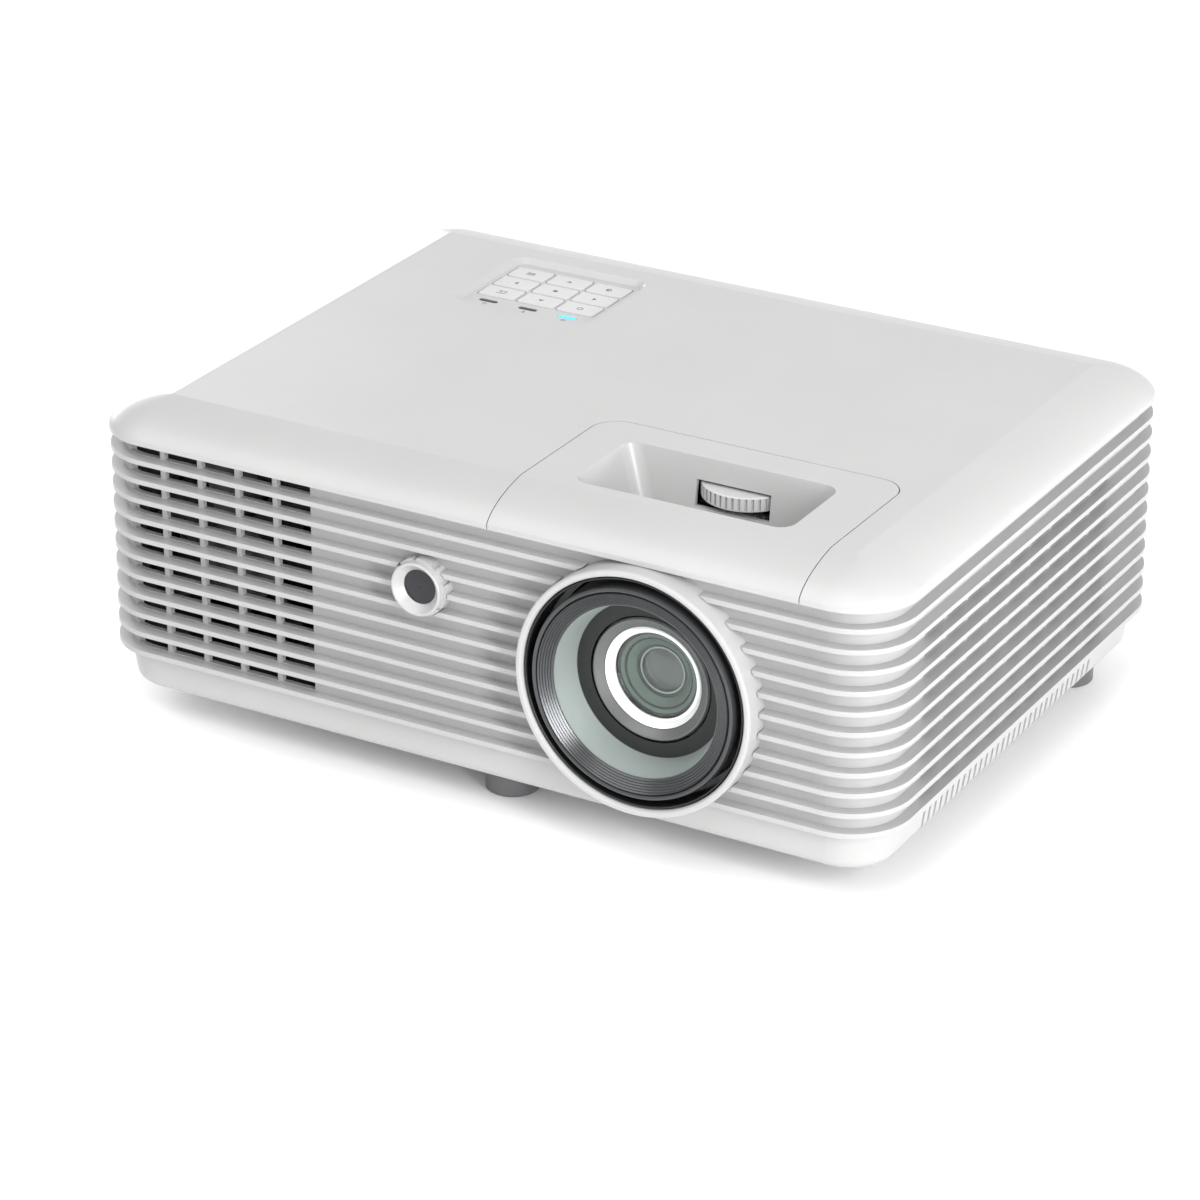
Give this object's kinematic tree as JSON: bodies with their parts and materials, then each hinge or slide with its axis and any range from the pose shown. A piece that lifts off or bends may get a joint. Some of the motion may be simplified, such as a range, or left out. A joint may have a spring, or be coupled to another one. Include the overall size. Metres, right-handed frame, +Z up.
{
  "type": "home projector",
  "caption": "Low white home projector with a finned case, a recessed lens at the front right, a zoom dial in a top pocket, a keypad and three screw feet.",
  "frame": {"origin": "middle of the projector's plan, on the surface its three feet stand on", "axes": "+Z up, -Y towards the screen out of the lens, +X to the right seen from in front of the lens"},
  "size_m": [0.3136, 0.2382, 0.1225],
  "materials": {
    "aluminium": "extruded fins",
    "board_green": "solder mask",
    "brass_gear": "natural acetal",
    "cap_sleeve": "printed sleeve, plain",
    "case_grey": "satin moulded plastic, pale grey",
    "case_white": "satin moulded plastic, off-white",
    "coated_glass": "green anti-reflection coat",
    "core_copper": "wound cores, varnished",
    "dark_knob": "dark grey, fine grain",
    "engine_metal": "die-cast, painted grey",
    "fan_black": "black glass-filled",
    "focus_grey": "satin grey with a silver funnel",
    "ir_black": "deep tinted, glossy",
    "jack_black": "black",
    "key_white": "satin",
    "lamp_blue": "emissive blue light pipe",
    "lamp_dark": "smoked",
    "lens_black": "black, anti-glare",
    "mirror_coat": "silvered",
    "silver_trim": "bright turned ring",
    "socket_metal": "nickel plate",
    "speaker_black": "box and cone",
    "steel": "bright zinc plate",
    "wheel_glass": "dichroic segments"
  },
  "bodies": {
    "case": {"audio_jacks": "jack_black", "base_pan": "case_white", "capacitors": "cap_sleeve", "case_grille": "case_grey", "dsub_sockets": "socket_metal", "engine_housing": "engine_metal", "exhaust_fan_frame": "fan_black", "hdmi_sockets": "socket_metal", "imaging_board": "board_green", "imaging_heatsink": "aluminium", "intake_fan_frame": "fan_black", "ir_bezel": "case_white", "ir_window": "ir_black", "keypad_board": "board_green", "lens_access_panel": "case_white", "lens_barrel": "lens_black", "lens_bezel": "case_white", "light_heatsink": "aluminium", "light_source": "engine_metal", "light_tunnel": "mirror_coat", "main_board": "board_green", "power_board": "board_green", "power_heatsink": "aluminium", "power_inlet": "jack_black", "power_light": "lamp_blue", "rear_panel": "case_grey", "screws": "steel", "speaker": "speaker_black", "status_lights": "lamp_dark", "top_cover": "case_white", "transformers": "core_copper", "usb_socket": "socket_metal", "wheel_motor": "steel"},
    "focus_ring": {"focus_ring": "focus_grey"},
    "focus_group": {"focus_cell": "lens_black", "front_lens_ring": "silver_trim", "focus_lenses": "coated_glass"},
    "zoom_dial": {"zoom_dial": "key_white", "zoom_pinion": "brass_gear"},
    "zoom_ring": {"zoom_ring": "brass_gear"},
    "zoom_group": {"zoom_cell": "lens_black", "zoom_lens": "coated_glass"},
    "colour_wheel": {"colour_wheel": "wheel_glass"},
    "exhaust_impeller": {"exhaust_impeller": "fan_black"},
    "intake_impeller": {"intake_impeller": "fan_black"},
    "key_down": {"key_down": "key_white"},
    "key_enter": {"key_enter": "key_white"},
    "key_left": {"key_left": "key_white"},
    "key_menu": {"key_menu": "key_white"},
    "key_mode": {"key_mode": "key_white"},
    "key_power": {"key_power": "key_white"},
    "key_right": {"key_right": "key_white"},
    "key_source": {"key_source": "key_white"},
    "key_up": {"key_up": "key_white"},
    "front_foot_stud": {"front_foot_stud": "steel"},
    "front_foot_knob": {"front_foot_knob": "dark_knob"},
    "rear_right_foot_stud": {"rear_right_foot_stud": "steel"},
    "rear_right_foot_knob": {"rear_right_foot_knob": "dark_knob"},
    "rear_left_foot_stud": {"rear_left_foot_stud": "steel"},
    "rear_left_foot_knob": {"rear_left_foot_knob": "dark_knob"}
  },
  "joints": [
    {"name": "key_menu_press", "type": "slide", "parent": "case", "child": "key_menu", "axis": [0, 0, -1], "range_m": [0, 0.0005], "stiffness_N_per_m": 1800, "springref_m": -0.0004},
    {"name": "key_up_press", "type": "slide", "parent": "case", "child": "key_up", "axis": [0, 0, -1], "range_m": [0, 0.0005], "stiffness_N_per_m": 1800, "springref_m": -0.0004},
    {"name": "key_mode_press", "type": "slide", "parent": "case", "child": "key_mode", "axis": [0, 0, -1], "range_m": [0, 0.0005], "stiffness_N_per_m": 1800, "springref_m": -0.0004},
    {"name": "key_left_press", "type": "slide", "parent": "case", "child": "key_left", "axis": [0, 0, -1], "range_m": [0, 0.0005], "stiffness_N_per_m": 1800, "springref_m": -0.0004},
    {"name": "key_enter_press", "type": "slide", "parent": "case", "child": "key_enter", "axis": [0, 0, -1], "range_m": [0, 0.0005], "stiffness_N_per_m": 1800, "springref_m": -0.0004},
    {"name": "key_right_press", "type": "slide", "parent": "case", "child": "key_right", "axis": [0, 0, -1], "range_m": [0, 0.0005], "stiffness_N_per_m": 1800, "springref_m": -0.0004},
    {"name": "key_source_press", "type": "slide", "parent": "case", "child": "key_source", "axis": [0, 0, -1], "range_m": [0, 0.0005], "stiffness_N_per_m": 1800, "springref_m": -0.0004},
    {"name": "key_down_press", "type": "slide", "parent": "case", "child": "key_down", "axis": [0, 0, -1], "range_m": [0, 0.0005], "stiffness_N_per_m": 1800, "springref_m": -0.0004},
    {"name": "key_power_press", "type": "slide", "parent": "case", "child": "key_power", "axis": [0, 0, -1], "range_m": [0, 0.0005], "stiffness_N_per_m": 1800, "springref_m": -0.0004},
    {"name": "focus_turn", "type": "hinge", "parent": "case", "child": "focus_ring", "pos_m": [0.0662, -0.1, 0.0662], "axis": [0, 1, 0], "range_deg": [-60, 60]},
    {"name": "focus_travel", "type": "slide", "parent": "case", "child": "focus_group", "axis": [0, 1, 0], "range_m": [-0.0022, 0.0022]},
    {"name": "zoom_dial_turn", "type": "hinge", "parent": "case", "child": "zoom_dial", "pos_m": [0.0662, -0.0372, 0.11], "axis": [0, 0, 1], "range_deg": [-75, 75]},
    {"name": "zoom_ring_turn", "type": "hinge", "parent": "case", "child": "zoom_ring", "pos_m": [0.0662, -0.025, 0.0662], "axis": [0, 1, 0], "range_deg": [-17, 17]},
    {"name": "zoom_travel", "type": "slide", "parent": "case", "child": "zoom_group", "axis": [0, 1, 0], "range_m": [-0.006, 0.006]},
    {"name": "colour_wheel_spin", "type": "hinge", "parent": "case", "child": "colour_wheel", "pos_m": [0.08, 0.0136, 0.066], "axis": [0, 1, 0], "continuous": true},
    {"name": "exhaust_fan_spin", "type": "hinge", "parent": "case", "child": "exhaust_impeller", "pos_m": [-0.1, -0.0945, 0.07], "axis": [0, 1, 0], "continuous": true},
    {"name": "intake_fan_spin", "type": "hinge", "parent": "case", "child": "intake_impeller", "pos_m": [0.1385, 0.053, 0.065], "axis": [1, 0, 0], "continuous": true},
    {"name": "front_foot_turn", "type": "hinge", "parent": "front_foot_stud", "child": "front_foot_knob", "pos_m": [0, -0.084, 0.004], "axis": [0, 0, 1], "range_deg": [0, 3600]},
    {"name": "front_foot_travel", "type": "slide", "parent": "case", "child": "front_foot_stud", "axis": [0, 0, -1], "range_m": [0, 0.01]},
    {"name": "rear_right_foot_turn", "type": "hinge", "parent": "rear_right_foot_stud", "child": "rear_right_foot_knob", "pos_m": [0.1323, 0.0915, 0.004], "axis": [0, 0, 1], "range_deg": [0, 3600]},
    {"name": "rear_right_foot_travel", "type": "slide", "parent": "case", "child": "rear_right_foot_stud", "axis": [0, 0, -1], "range_m": [0, 0.01]},
    {"name": "rear_left_foot_turn", "type": "hinge", "parent": "rear_left_foot_stud", "child": "rear_left_foot_knob", "pos_m": [-0.1323, 0.0915, 0.004], "axis": [0, 0, 1], "range_deg": [0, 3600]},
    {"name": "rear_left_foot_travel", "type": "slide", "parent": "case", "child": "rear_left_foot_stud", "axis": [0, 0, -1], "range_m": [0, 0.01]}
  ],
  "couplings": [
    {"joint": "focus_travel", "follows": "focus_turn", "m_per_rad": 0.0019099},
    {"joint": "zoom_dial_turn", "follows": "zoom_travel", "rad_per_m": 218},
    {"joint": "zoom_ring_turn", "follows": "zoom_travel", "rad_per_m": -47.135},
    {"joint": "front_foot_turn", "follows": "front_foot_travel", "rad_per_m": 6283.2},
    {"joint": "rear_right_foot_turn", "follows": "rear_right_foot_travel", "rad_per_m": 6283.2},
    {"joint": "rear_left_foot_turn", "follows": "rear_left_foot_travel", "rad_per_m": 6283.2}
  ]
}
